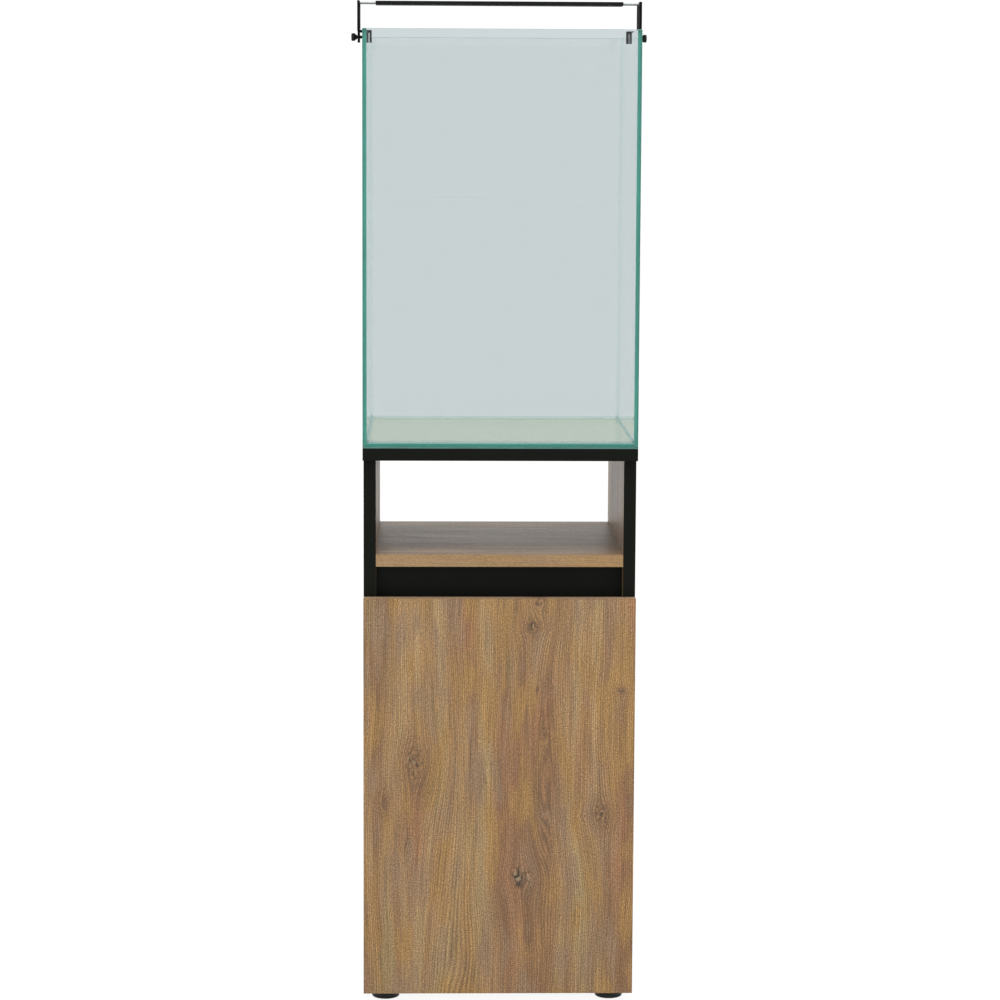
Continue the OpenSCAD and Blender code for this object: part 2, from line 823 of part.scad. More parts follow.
inner_link(hinge_zs[0]);  // inner_link_lower
hinge_cup_screws();
hinge_plate_screws();
hinge_arm_screws();
hinge_arm_pins();
hinge_cup_pins();
foam_mat();
long_pane(-1);  // pane_front
long_pane(1);  // pane_back
side_pane(-1);  // pane_left
side_pane(1);  // pane_right
pane_bottom();
silicone_seams();
hanger(-1);  // hanger_left
hanger(1);  // hanger_right
rods(-1);  // rods_left
rods(1);  // rods_right
lamp_housing();
lamp_diffuser();
led_board();
end_cap(-1);  // end_cap_left
end_cap(1);  // end_cap_right
lamp_inlet();
thumb_screw(-1);  // thumb_screw_left
thumb_screw(1);  // thumb_screw_right
screw_pad(-1);  // screw_pad_left
screw_pad(1);  // screw_pad_right
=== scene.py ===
# Looks of the aquarium cabinet with its tank and light bar: camera, light, procedural materials and fine
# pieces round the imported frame. Metres, in the frame of the CAD model: the origin is on the floor under
# the tank, the door faces -Y and +Z is up.

import math

import bmesh
import bpy
from mathutils import Matrix, Vector


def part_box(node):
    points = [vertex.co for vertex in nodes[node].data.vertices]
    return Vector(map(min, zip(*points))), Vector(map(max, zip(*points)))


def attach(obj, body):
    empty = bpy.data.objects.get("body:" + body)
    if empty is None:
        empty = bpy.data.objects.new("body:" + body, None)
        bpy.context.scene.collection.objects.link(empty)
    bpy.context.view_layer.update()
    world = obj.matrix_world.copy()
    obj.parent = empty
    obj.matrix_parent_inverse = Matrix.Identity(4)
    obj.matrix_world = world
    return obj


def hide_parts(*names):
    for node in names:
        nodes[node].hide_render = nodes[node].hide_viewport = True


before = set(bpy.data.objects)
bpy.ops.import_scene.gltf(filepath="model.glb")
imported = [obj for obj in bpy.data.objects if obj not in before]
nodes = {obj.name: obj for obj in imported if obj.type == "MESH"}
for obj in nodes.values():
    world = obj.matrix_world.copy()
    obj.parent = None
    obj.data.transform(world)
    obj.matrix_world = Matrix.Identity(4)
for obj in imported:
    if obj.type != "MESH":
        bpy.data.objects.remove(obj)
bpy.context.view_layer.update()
scene = bpy.context.scene
MM = 0.001
X, Y, Z = 0, 1, 2

# Camera

LENS = 106.79
SENSOR_WIDTH = 36.0
CLIP_END = 200.0
CAMERA_AT = Vector((-0.105, -4.4772, 1.2768))
YAW, PITCH, ROLL = (math.radians(a) for a in (1.401, 6.953, 0.27))


def add_camera():
    data = bpy.data.cameras.new("camera")
    data.sensor_width = SENSOR_WIDTH
    data.lens = LENS
    data.clip_end = CLIP_END
    camera = bpy.data.objects.new("camera", data)
    scene.collection.objects.link(camera)
    forward = Vector((math.sin(YAW) * math.cos(PITCH), math.cos(YAW) * math.cos(PITCH), -math.sin(PITCH)))
    right = Vector((math.cos(YAW), -math.sin(YAW), 0.0))
    up = right.cross(forward)
    tilted_right = right * math.cos(ROLL) + up * math.sin(ROLL)
    tilted_up = up * math.cos(ROLL) - right * math.sin(ROLL)
    turn = Matrix((tilted_right, tilted_up, -forward)).transposed()
    camera.matrix_world = Matrix.Translation(CAMERA_AT) @ turn.to_4x4()
    scene.camera = camera


add_camera()
scene.view_settings.view_transform = "Standard"


# Node helpers


class Tree:
    """A material's node tree, filled by short calls. Sockets and numbers mix freely as inputs."""

    def __init__(self, owner):
        owner.use_nodes = True
        self.tree = owner.node_tree
        self.tree.nodes.clear()

    def put(self, socket, value):
        if isinstance(value, bpy.types.NodeSocket):
            self.tree.links.new(value, socket)
        elif isinstance(value, (tuple, list)) and socket.type == "RGBA" and len(value) == 3:
            socket.default_value = (*value, 1.0)
        else:
            socket.default_value = value

    def node(self, kind, inputs=None, **settings):
        made = self.tree.nodes.new(kind)
        for name, value in settings.items():
            setattr(made, name, value)
        for name, value in (inputs or {}).items():
            self.put(made.inputs[name], value)
        return made

    def math(self, operation, a, b=0.0):
        return self.node("ShaderNodeMath", {0: a, 1: b}, operation=operation).outputs[0]

    def add(self, a, b):
        return self.math("ADD", a, b)

    def sub(self, a, b):
        return self.math("SUBTRACT", a, b)

    def mul(self, *factors):
        product = factors[0]
        for factor in factors[1:]:
            product = self.math("MULTIPLY", product, factor)
        return product

    def most(self, *values):
        """The largest of the values, or 0 where there is none."""
        largest = 0.0
        for value in values:
            largest = self.math("MAXIMUM", largest, value)
        return largest

    def least(self, a, b):
        return self.math("MINIMUM", a, b)

    def size(self, value):
        return self.math("ABSOLUTE", value)

    def over(self, value, limit):
        return self.math("GREATER_THAN", value, limit)

    def under(self, value, limit):
        return self.math("LESS_THAN", value, limit)

    def coords(self, output="Object"):
        return self.node("ShaderNodeTexCoord").outputs[output]

    def split(self, vector):
        return self.node("ShaderNodeSeparateXYZ", {0: vector}).outputs

    def join(self, x, y, z):
        return self.node("ShaderNodeCombineXYZ", {0: x, 1: y, 2: z}).outputs[0]

    def noise(self, vector, scale=1.0, detail=2.0, rough=0.5, distort=0.0):
        return self.node("ShaderNodeTexNoise", {
            "Vector": vector, "Scale": scale, "Detail": detail, "Roughness": rough, "Distortion": distort,
        }).outputs["Fac"]

    def cells(self, vector, scale, feature="F1"):
        """The distance to the middle of a cell, or with DISTANCE_TO_EDGE to its edge."""
        made = self.node("ShaderNodeTexVoronoi", feature=feature)
        self.put(made.inputs["Vector"], vector)
        self.put(made.inputs["Scale"], scale)
        return made.outputs["Distance"]

    def step(self, value, low, high, out_low=0.0, out_high=1.0):
        """A smooth ramp of value between low and high."""
        return self.node("ShaderNodeMapRange", {
            "Value": value, "From Min": low, "From Max": high, "To Min": out_low, "To Max": out_high,
        }, interpolation_type="SMOOTHSTEP").outputs[0]

    def vary(self, noise, low=0.0, high=1.0):
        """A noise, whose values mostly lie between 0.3 and 0.7, as a number from low to high."""
        return self.step(noise, 0.3, 0.7, low, high)

    def ramp(self, value, stops):
        made = self.node("ShaderNodeValToRGB", {0: value})
        elements = made.color_ramp.elements
        while len(elements) < len(stops):
            elements.new(0.5)
        for element, (place, colour) in zip(elements, stops):
            element.position = place
            element.color = (*colour, 1.0)
        return made.outputs[0]

    def mix(self, share, a, b, blend="MIX"):
        made = self.node("ShaderNodeMix", data_type="RGBA", blend_type=blend)
        for socket, value in ((made.inputs[0], share), (made.inputs[6], a), (made.inputs[7], b)):
            self.put(socket, value)
        return made.outputs[2]

    def shaded(self, colour, factor):
        """A colour times a number."""
        return self.mix(1.0, colour, self.join(factor, factor, factor), "MULTIPLY")

    def pick(self, share, a, b):
        """A number that is a where share is 0 and b where it is 1."""
        return self.node("ShaderNodeMix", {0: share, 2: a, 3: b}, data_type="FLOAT").outputs[0]

    def blend(self, share, a, b):
        return self.node("ShaderNodeMixShader", {0: share, 1: a, 2: b}).outputs[0]

    def bump(self, height, distance, strength):
        return self.node("ShaderNodeBump", {
            "Height": height, "Distance": distance, "Strength": strength,
        }).outputs[0]

    def clear(self, colour):
        return self.node("ShaderNodeBsdfTransparent", {"Color": colour}).outputs[0]

    def principled(self, **inputs):
        named = {name.replace("_", " "): value for name, value in inputs.items()}
        return self.node("ShaderNodeBsdfPrincipled", named).outputs[0]

    def surface(self, shader, output="ShaderNodeOutputMaterial"):
        self.tree.links.new(shader, self.node(output).inputs["Surface"])


def linear(part):
    return part / 12.92 if part <= 0.04045 else ((part + 0.055) / 1.055) ** 2.4


def rgb(r, g, b):
    """An sRGB colour of 0 to 255 as linear numbers."""
    return tuple(linear(value / 255) for value in (r, g, b))


def new_material(name):
    material = bpy.data.materials.new(name)
    return material, Tree(material)


def assign(material, *names):
    for name in names:
        for slot in nodes[name].material_slots:
            slot.material = material


# Stage and light

WHITE = (1.0, 1.0, 1.0)
AMBIENT = 0.68
FLOOR_TONE = 0.9
FLOOR_SHARE = 0.2       # how much of the floor's own shading the camera sees
FLOOR_GLOW = 1.15
FLOOR_HALF = 60.0
FAR_FLOOR = FLOOR_GLOW * (1.0 - FLOOR_SHARE) + FLOOR_TONE * FLOOR_SHARE * AMBIENT

# Softboxes: name, place, the point it faces, width and height, power
SOFTBOXES = (
    ("softbox_left", (-2.6, -3.4, 2.2), (0, 0, 0.8), (2.2, 2.6), 30),
    ("softbox_right", (3.0, -3.0, 1.8), (0, 0, 0.8), (2.0, 2.4), 21),
    ("softbox_top", (0.1, -2.0, 3.9), (0, 0, 0.6), (2.2, 1.6), 40),
)


def seen_by_eye(tree):
    """1 for rays that come from the camera, straight, mirrored or through glass."""
    path = tree.node("ShaderNodeLightPath").outputs
    return tree.most(path["Is Camera Ray"], path["Is Glossy Ray"], path["Is Transmission Ray"])


def add_world():
    world = bpy.data.worlds.new("studio")
    scene.world = world
    tree = Tree(world)
    strength = tree.pick(seen_by_eye(tree), AMBIENT, FAR_FLOOR)
    background = tree.node("ShaderNodeBackground", {"Color": WHITE, "Strength": strength}).outputs[0]
    tree.surface(background, "ShaderNodeOutputWorld")


def add_floor():
    mesh = bpy.data.meshes.new("floor")
    bm = bmesh.new()
    bmesh.ops.create_grid(bm, x_segments=1, y_segments=1, size=FLOOR_HALF)
    bm.to_mesh(mesh)
    bm.free()
    floor = bpy.data.objects.new("floor", mesh)
    scene.collection.objects.link(floor)
    material, tree = new_material("floor")
    matt = tree.node("ShaderNodeBsdfDiffuse", {"Color": (FLOOR_TONE, FLOOR_TONE, FLOOR_TONE)}).outputs[0]
    glow = tree.node("ShaderNodeEmission", {"Color": WHITE, "Strength": FLOOR_GLOW}).outputs[0]
    tree.surface(tree.blend(tree.mul(seen_by_eye(tree), 1.0 - FLOOR_SHARE), matt, glow))
    mesh.materials.append(material)


def add_softbox(name, place, aim, size, power):
    data = bpy.data.lights.new(name, "AREA")
    data.shape = "RECTANGLE"
    data.size, data.size_y = size
    data.energy = power
    light = bpy.data.objects.new(name, data)
    scene.collection.objects.link(light)
    way = Vector(aim) - Vector(place)
    light.matrix_world = Matrix.Translation(place) @ way.to_track_quat("-Z", "Y").to_matrix().to_4x4()


add_world()
add_floor()
for softbox in SOFTBOXES:
    add_softbox(*softbox)


# Oak

OAK_DARK = rgb(128, 94, 63)
OAK_MID = rgb(145, 112, 75)
OAK_TAN = rgb(153, 120, 80)
OAK_LIGHT = rgb(161, 133, 92)
OAK_RED = rgb(156, 105, 71)
OAK_GREEN = rgb(143, 127, 85)
OAK_OCHRE = rgb(155, 119, 68)
OAK_GREY = rgb(140, 113, 86)
OAK_PORE = rgb(88, 64, 42)
OAK_STAIN = rgb(134, 98, 68)
OAK_MEAN = rgb(152, 122, 86)
# the pale tone of a painted sheen on edge bands that face up
OAK_BAND_SHEEN = rgb(206, 178, 154)
OAK_RING = rgb(88, 66, 48)
OAK_KNOT = rgb(34, 30, 22)
OAK_PALE = rgb(166, 150, 118)
OAK_SPECULAR = 0.45

# Knots of the door: x, z, radius, stretch along the grain, darkness of the cracks, strength of the rings
DOOR_KNOTS = (
    (0.0473, 0.5667, 0.0115, 0.9, 1.0, 0.25),
    (0.0573, 0.6037, 0.0075, 1.1, 0.8, 0.20),
    (0.1783, 0.4748, 0.0065, 0.8, 1.0, 0.40),
    (0.0566, 0.4747, 0.0035, 1.5, 0.6, 0.20),
    (-0.1248, 0.3629, 0.0140, 1.8, 0.7, 1.0),
    (-0.1689, 0.3075, 0.0070, 2.2, 0.2, 0.8),
    (-0.1380, 0.2549, 0.0060, 3.2, 0.1, 0.7),
    (0.0644, 0.4092, 0.0050, 2.4, 0.5, 0.6),
    (0.0700, 0.3300, 0.0110, 7.5, 0.0, 0.9),
    (0.1506, 0.2893, 0.0120, 1.3, 0.8, 0.9),
    (0.1271, 0.2863, 0.0040, 1.2, 1.0, 0.2),
    (0.0332, 0.1945, 0.0170, 1.1, 1.0, 0.7),
)

# Dark lines in the door's grain: x and z of both ends, half width, darkness
DOOR_LINES = (
    (-0.0627, 0.1901, -0.0712, 0.0460, 1.2 * MM, 0.7),
    (-0.0414, 0.4181, -0.0425, 0.3329, 1.9 * MM, 0.5),
    (0.0567, 0.3359, 0.0608, 0.2713, 1.3 * MM, 0.5),
    (-0.1689, 0.2580, -0.1615, 0.0386, 1.8 * MM, 0.4),
    (-0.0820, 0.3900, -0.0990, 0.2300, 1.1 * MM, 0.35),
)
# Where the door's grain leans: x of the middle, half width, z of the upper end, slope
DOOR_LEAN = (-0.100, 0.075, 0.38, 0.11)

# The niche shelf's mark: y and x of both ends, half width, darkness
SHELF_LINES = ((0.0466, -0.1614, 0.0010, -0.1074, 9.0 * MM, 1.0),)

# Patterns of noise drawn out along the grain: how many a metre across it and along it, detail, shift,
# distortion
STREAKS = {
    "broad": (11.0, 0.7, 2.0, 1.7, 0.0),
    "middle": (42.0, 1.9, 1.0, 4.1, 0.3),
    "fine": (150.0, 6.0, 1.0, 7.9, 0.0),
    "fibre": (430.0, 10.0, 2.0, 2.3, 0.0),
    "pores": (850.0, 30.0, 2.0, 5.7, 0.0),
    "patch": (14.0, 3.2, 2.0, 9.3, 0.0),
    "fleck": (34.0, 9.0, 2.0, 6.1, 0.0),
    "sway": (60.0, 14.0, 1.0, 3.3, 0.0),
}
STREAK_DEPTH = 0.35     # how many go into the board, as a share of those across the grain
STREAK_ROUGH = 0.55

# Patterns that are alike in all directions: how many a metre, detail, roughness
SPOTS = {
    "speck": (620.0, 1.0, 0.5),
    "mottle": (260.0, 2.0, 0.6),
}

GRAIN_LINES = 345.0     # thin lines a metre across the grain
LINE_SWAY = 8.0
LINE_DEPTH = 0.21

# Tones of the grain, and the tints over them: the pattern that brings a tint, the levels between which
# it comes or goes, its share at both, its colour
BROAD_SHARE = 0.55      # the rest of the tone comes from the middle streaks
TONE_LEVELS = (0.38, 0.62)
TONES = ((0.0, OAK_DARK), (0.40, OAK_MID), (0.68, OAK_TAN), (1.0, OAK_LIGHT))
TINTS = (
    ("patch", 0.54, 0.74, 0.0, 0.5, OAK_RED),
    ("patch", 0.28, 0.45, 0.5, 0.0, OAK_GREEN),
    ("fleck", 0.48, 0.66, 0.0, 0.8, OAK_OCHRE),
    ("fleck", 0.32, 0.50, 0.8, 0.0, OAK_GREY),
)

# What lightens and darkens wide faces and edge bands: the pattern, two levels of it, the factors there
WIDE_SHADES = (
    ("fine", 0.25, 0.75, 0.95, 1.05),
    ("fibre", 0.25, 0.75, 0.79, 1.21),
    ("speck", 0.2, 0.8, 0.42, 1.58),
    ("mottle", 0.2, 0.8, 0.82, 1.18),
)
BAND_SHADES = (
    ("fibre", 0.25, 0.75, 0.90, 1.14),
    ("speck", 0.2, 0.8, 0.80, 1.24),
)
# painted sheen: the share by which an edge band that faces up is lightened
UPPER_BAND_SHEEN = 0.45       # how much an edge band that faces up tends to OAK_BAND_SHEEN

# How the grain wanders: how often a metre across and along it, a slice of the noise, and how far
DRIFT_ACROSS, DRIFT_ALONG, DRIFT_SLICE, DRIFT_REACH = 5.0, 2.2, 0.3, 0.045
# What moves the grain of the edge bands away from that of the wide faces
BAND_SEED, BAND_SHIFT = 0.37, 0.11

# Knots. Where a length is meant, it is a share of the knot's radius.
KNOT_BEND = 1.3                 # how strongly the grain flows round it
KNOT_SEED = 40.0                # makes the noise of each knot its own
KNOT_WOBBLE = 1.6               # how far its outline wanders
KNOT_CORE = (0.45, 1.05)        # where its cracks end
KNOT_RINGS = (0.3, 3.0)         # where its rings fade
KNOT_STAIN = 2.6                # where its stain ends
STAIN_SHARE = 0.8
RING_TURN = 2600.0              # radians a metre of the rings' waves
RING_WIDEN = 90.0               # how much a larger radius widens them
RING_SHARE = 0.45
CRACK_STRETCH = 0.6
CRACK_CELLS = 2.1               # cracks run along the edges of cells
CRACK_EDGE = (0.02, 0.16)
BREAK_SPOTS = 2.6               # noise interrupts them
BREAK_LEVELS = (0.40, 0.56)
PALE_SPOTS = 4.3
PALE_LEVELS = (0.55, 0.68)
PALE_SHARE = 0.5

# Dark lines: the part of the half width that is full, and the part of the half length from which it fades
LINE_FULL, LINE_FADE = 0.3, 0.5
# How other patterns break up the dark lines and the stains: two levels of the pattern, the share at both
LINE_BREAKS = (0.3, 0.6, 0.5, 1.0)
STAIN_BREAKS = (0.3, 0.6, 0.35, 0.85)

PORE_LEVELS = (0.58, 0.70)
PORE_SHARE = 0.4
FIBRE_RELIEF, PORE_RELIEF = 0.5, 0.8

FACING = 0.6            # a normal's part along an axis, over which a face counts as facing that way
UPWARD = 0.3


def grain_place(tree, place, normal, across, along, seed):
    """Where a point lies across, along and under the grain of its face, and 1 on the edge bands. The grain
    of an edge band runs along its edge."""
    other = 3 - across - along
    ends = tree.over(tree.size(normal[along]), FACING)
    banded = tree.sub(1.0, tree.over(tree.size(normal[other]), FACING))
    wide = tree.pick(banded, place[across], tree.add(place[other], seed * BAND_SEED + BAND_SHIFT))
    length = tree.pick(ends, place[along], place[across])
    deep = tree.pick(banded, place[other], tree.pick(ends, place[across], place[along]))
    return wide, length, deep, banded


def grain_flow(tree, u, v, wide, length, seed, lean):
    """The place across the grain, which wanders a little and leans here and there. u and v are the place
    across and along the board."""
    wander = tree.join(tree.mul(wide, DRIFT_ACROSS), tree.add(tree.mul(length, DRIFT_ALONG), seed),
                       DRIFT_SLICE)
    flow = tree.add(wide, tree.mul(tree.sub(tree.noise(wander), 0.5), DRIFT_REACH))
    if lean:
        middle, half, top, slope = lean
        share = tree.step(tree.size(tree.sub(u, middle)), 0.0, half, slope, 0.0)
        flow = tree.add(flow, tree.mul(share, tree.math("MAXIMUM", tree.sub(top, v), 0.0)))
    return flow


def line_marks(tree, u, v, lines):
    """How dark each of the dark lines is at a point."""
    marks = []
    for u_0, v_0, u_1, v_1, half, dark in lines:
        slope = (u_1 - u_0) / (v_1 - v_0)
        centre = tree.add(u_0, tree.mul(tree.sub(v, v_0), slope))
        off = tree.size(tree.sub(u, centre))
        gone = tree.size(tree.sub(v, (v_0 + v_1) / 2))
        reach = abs(v_1 - v_0) / 2
        fade = tree.step(gone, reach * LINE_FADE, reach, dark, 0.0)
        marks.append(tree.mul(tree.step(off, half * LINE_FULL, half, 1.0, 0.0), fade))
    return marks


def knot_cracks(tree, du, dv, turn, wobble, reach, radius, dark):
    """The dark cracks and the pale specks in a knot's core."""
    bent = tree.join(tree.add(tree.mul(du, 1.0 / radius), wobble), tree.mul(dv, CRACK_STRETCH / radius), turn)
    vein = tree.step(tree.cells(bent, CRACK_CELLS, "DISTANCE_TO_EDGE"), *CRACK_EDGE, dark, 0.0)
    breaks = tree.step(tree.noise(bent, BREAK_SPOTS, detail=1.0), *BREAK_LEVELS)
    core = tree.step(reach, radius * KNOT_CORE[0], radius * KNOT_CORE[1], 1.0, 0.0)
    pale = tree.step(tree.noise(bent, PALE_SPOTS, detail=1.0), *PALE_LEVELS, 0.0, dark)
    return tree.mul(vein, breaks, core), tree.mul(pale, core)


def knot_rings(tree, far, reach, radius, ring):
    """The rings round a knot."""
    wave = tree.math("SINE", tree.mul(reach, RING_TURN / (1.0 + RING_WIDEN * radius)))
    near = tree.step(far, radius * KNOT_RINGS[0], radius * KNOT_RINGS[1], ring, 0.0)
    return tree.mul(near, tree.add(tree.mul(wave, 0.5), 0.5))


def knot_marks(tree, u, v, flow, knots):
    """Bends the grain's flow round the knots. Returns the flow, and how strong the knots' cracks, rings,
    stains and pale specks are at a point."""
    cracks, rings, stains, specks = [], [], [], []
    for knot_u, knot_v, radius, stretch, dark, ring in knots:
        du = tree.sub(u, knot_u)
        dv = tree.mul(tree.sub(v, knot_v), 1.0 / stretch)
        square = tree.add(tree.mul(du, du), tree.mul(dv, dv))
        pull = tree.mul(du, KNOT_BEND * radius * radius)
        flow = tree.sub(flow, tree.math("DIVIDE", pull, tree.add(square, radius * radius)))
        far = tree.math("SQRT", square)
        turn = knot_u * KNOT_SEED
        spot = tree.join(tree.mul(du, 1.0 / radius), tree.mul(dv, 1.0 / radius), turn)
        wobble = tree.noise(spot, scale=1.1, detail=3.0, rough=0.6)
        reach = tree.add(far, tree.mul(tree.sub(wobble, 0.5), radius * KNOT_WOBBLE))
        if dark:
            crack, speck = knot_cracks(tree, du, dv, turn, wobble, reach, radius, dark)
            cracks.append(crack)
            specks.append(speck)
        if ring:
            rings.append(knot_rings(tree, far, reach, radius, ring))
        stains.append(tree.step(reach, 0.0, radius * KNOT_STAIN, STAIN_SHARE, 0.0))
    return flow, cracks, rings, stains, specks


def grain_patterns(tree, flow, length, deep, seed):
    """All patterns of noise by name, from 0 to 1."""
    patterns = {}
    for name, (across, along, detail, shift, distort) in STREAKS.items():
        vector = tree.join(tree.mul(flow, across), tree.add(tree.mul(length, along), shift + seed),
                           tree.mul(deep, across * STREAK_DEPTH))
        patterns[name] = tree.noise(vector, detail=detail, rough=STREAK_ROUGH, distort=distort)
    for name, numbers in SPOTS.items():
        patterns[name] = tree.noise(tree.coords(), *numbers)
    return patterns


def oak_tones(tree, patterns, calm):
    """The oak's colour without marks. calm is the share by which the tones draw together."""
    broad, middle = patterns["broad"], patterns["middle"]
    tone = tree.add(tree.mul(broad, BROAD_SHARE), tree.mul(middle, 1.0 - BROAD_SHARE))
    base = tree.ramp(tree.step(tone, *TONE_LEVELS), TONES)
    for name, low, high, share_low, share_high, colour in TINTS:
        base = tree.mix(tree.step(patterns[name], low, high, share_low, share_high), base, colour)
    if calm:
        base = tree.mix(calm, base, OAK_MEAN)
    return base


def oak_shade(tree, flow, patterns, banded):
    """The factor by which the fine patterns lighten and darken the oak."""
    wave = tree.add(tree.mul(flow, 2.0 * math.pi * GRAIN_LINES), tree.mul(patterns["sway"], LINE_SWAY))
    lines = tree.add(1.0, tree.mul(tree.math("SINE", wave), LINE_DEPTH))
    wide = [tree.step(patterns[name], *levels) for name, *levels in WIDE_SHADES]
    band = [tree.step(patterns[name], *levels) for name, *levels in BAND_SHADES]
    return tree.pick(banded, tree.mul(*wide, lines), tree.mul(*band))


def oak_pattern(tree, across, along, seed=0.0, knots=(), lines=(), lean=None, calm=0.0):
    """Base colour, gloss and relief of oak decor. across and along are the axes of the board's width and
    of its grain."""
    place = tree.split(tree.coords())
    normal = tree.split(tree.coords("Normal"))
    u, v = place[across], place[along]
    wide, length, deep, banded = grain_place(tree, place, normal, across, along, seed)
    flow = grain_flow(tree, u, v, wide, length, seed, lean)
    flow, cracks, rings, stains, specks = knot_marks(tree, u, v, flow, knots)
    patterns = grain_patterns(tree, flow, length, deep, seed)

    base = oak_tones(tree, patterns, calm)
    # painted sheen: edge bands that face up are lightened towards OAK_BAND_SHEEN
    upper_band_sheen = tree.mul(banded, tree.over(normal[Z], UPWARD), UPPER_BAND_SHEEN)
    base = tree.mix(upper_band_sheen, base, OAK_BAND_SHEEN)
    if lines:
        marks = tree.most(*line_marks(tree, u, v, lines))
        base = tree.mix(tree.mul(marks, tree.step(patterns["sway"], *LINE_BREAKS)), base, OAK_RING)
    if knots:
        stained = tree.mul(tree.most(*stains), tree.step(patterns["fleck"], *STAIN_BREAKS))
        base = tree.mix(stained, base, OAK_STAIN)
        base = tree.mix(tree.mul(tree.most(*rings), RING_SHARE), base, OAK_RING)
    base = tree.shaded(base, oak_shade(tree, flow, patterns, banded))
    pores = tree.step(patterns["pores"], *PORE_LEVELS)
    base = tree.mix(tree.mul(pores, PORE_SHARE), base, OAK_PORE)
    if knots:
        base = tree.mix(tree.mul(tree.most(*specks), PALE_SHARE), base, OAK_PALE)
        base = tree.mix(tree.most(*cracks), base, OAK_KNOT)
    height = tree.sub(tree.mul(patterns["fibre"], FIBRE_RELIEF), tree.mul(pores, PORE_RELIEF))
    gloss = tree.vary(patterns["fine"], 0.46, 0.38)
    return base, gloss, height


CHIPS = ((0.30, rgb(112, 84, 54)), (0.50, rgb(158, 128, 88)), (0.72, rgb(190, 164, 122)))


def chipboard(tree):
    """The colour of sawn or drilled chipboard."""
    return tree.ramp(tree.noise(tree.coords(), scale=620.0, detail=3.0, rough=0.7), CHIPS)


def box_distance(tree, name):
    """For each axis, how far a point of a board lies inside the board's outer faces."""
    low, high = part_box(name)
    place = tree.split(tree.coords())
    inside = []
    for axis in range(3):
        middle, half = (low[axis] + high[axis]) / 2, (high[axis] - low[axis]) / 2
        inside.append(tree.sub(half, tree.size(tree.sub(place[axis], middle))))
    return inside


BAND = 0.8 * MM         # thickness of the edge bands
SKIN = 0.3 * MM         # what lies deeper than this is a bore or a groove
SEAM = (0.05 * MM, 0.14 * MM)   # how far from its middle the seam beside an edge band fades
SEAM_SHARE = 0.45
BARE_ROUGH = 0.9
BLACK_BASE = rgb(10, 13, 7)
BLACK_CLOUD = rgb(9, 11, 8)
BLACK_SPECULAR = 0.1
BLACK_ROUGH = 0.5
BLACK_GRAIN = 900.0     # grains of the black surface a metre


def on_faces(tree, name, faces):
    """1 on the named outer faces of a board. A face is a pair of an axis and a sign."""
    low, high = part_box(name)
    place = tree.split(tree.coords())
    near = []
    for axis, sign in faces:
        face = high[axis] if sign > 0 else low[axis]
        near.append(tree.under(tree.size(tree.sub(place[axis], face)), SKIN))
    return tree.most(*near)


def oak_board(name, across, along, seed=0.0, black_faces=(), **pattern):
    """Oak decor with edge bands, and bare chipboard in bores and grooves. black_faces are the outer faces
    that are black."""
    material, tree = new_material("oak_" + name)
    base, gloss, height = oak_pattern(tree, across, along, seed, **pattern)
    inside = box_distance(tree, name)
    edge = tree.least(inside[across], inside[along])
    seam = tree.step(tree.size(tree.sub(edge, BAND)), *SEAM, 1.0, 0.0)
    seam = tree.mul(seam, tree.under(inside[3 - across - along], SKIN))
    base = tree.mix(tree.mul(seam, SEAM_SHARE), base, OAK_PORE)
    shine = OAK_SPECULAR
    if black_faces:
        black = on_faces(tree, name, black_faces)
        base = tree.mix(black, base, BLACK_BASE)
        gloss = tree.pick(black, gloss, BLACK_ROUGH)
        shine = tree.pick(black, OAK_SPECULAR, BLACK_SPECULAR)
        height = tree.pick(black, height, tree.noise(tree.coords(), BLACK_GRAIN))
    bare = tree.mul(*(tree.over(depth, SKIN) for depth in inside))
    base = tree.mix(bare, base, chipboard(tree))
    tree.surface(tree.principled(
        Base_Color=base, Roughness=tree.pick(bare, gloss, BARE_ROUGH), Specular_IOR_Level=shine,
        Normal=tree.bump(height, distance=0.06 * MM, strength=0.6)))
    assign(material, name)


# Black boards, plastics, metals and foam


def black_board(name):
    """Black melamine with a fine grain, and bare chipboard in bores."""
    material, tree = new_material("black_" + name)
    spot = tree.coords()
    cloud = tree.noise(spot, scale=14.0, detail=3.0)
    base = tree.mix(tree.vary(cloud, 0.0, 0.6), BLACK_BASE, BLACK_CLOUD)
    bare = tree.mul(*(tree.over(depth, SKIN) for depth in box_distance(tree, name)))
    base = tree.mix(bare, base, chipboard(tree))
    tree.surface(tree.principled(
        Base_Color=base, Roughness=tree.vary(cloud, 0.46, 0.56), Specular_IOR_Level=BLACK_SPECULAR,
        Normal=tree.bump(tree.noise(spot, BLACK_GRAIN), distance=0.03 * MM, strength=0.5)))
    assign(material, name)


GLOSS_SPREAD = 0.06     # how far the roughness of a plain surface varies either way


def plain(name, base, vary, rough, specular, grain=0.0, scale=1200.0, metal=0.0):
    """A moulded, painted or metal surface: its colour varies from base to vary, and its gloss a little.
    grain is the height of its fine relief, and scale how many grains there are a metre."""
    material, tree = new_material(name)
    spot = tree.coords()
    cloud = tree.noise(spot, scale=60.0, detail=3.0, rough=0.6)
    inputs = dict(
        Base_Color=tree.mix(tree.vary(cloud), base, vary),
        Roughness=tree.vary(cloud, rough - GLOSS_SPREAD, rough + GLOSS_SPREAD),
        Metallic=metal, Specular_IOR_Level=specular)
    if grain:
        inputs["Normal"] = tree.bump(tree.noise(spot, scale, detail=3.0), distance=grain, strength=0.7)
    tree.surface(tree.principled(**inputs))
    return material


BRUSH_ALONG, BRUSH_ACROSS = 40.0, 3000.0    # brush lines a metre


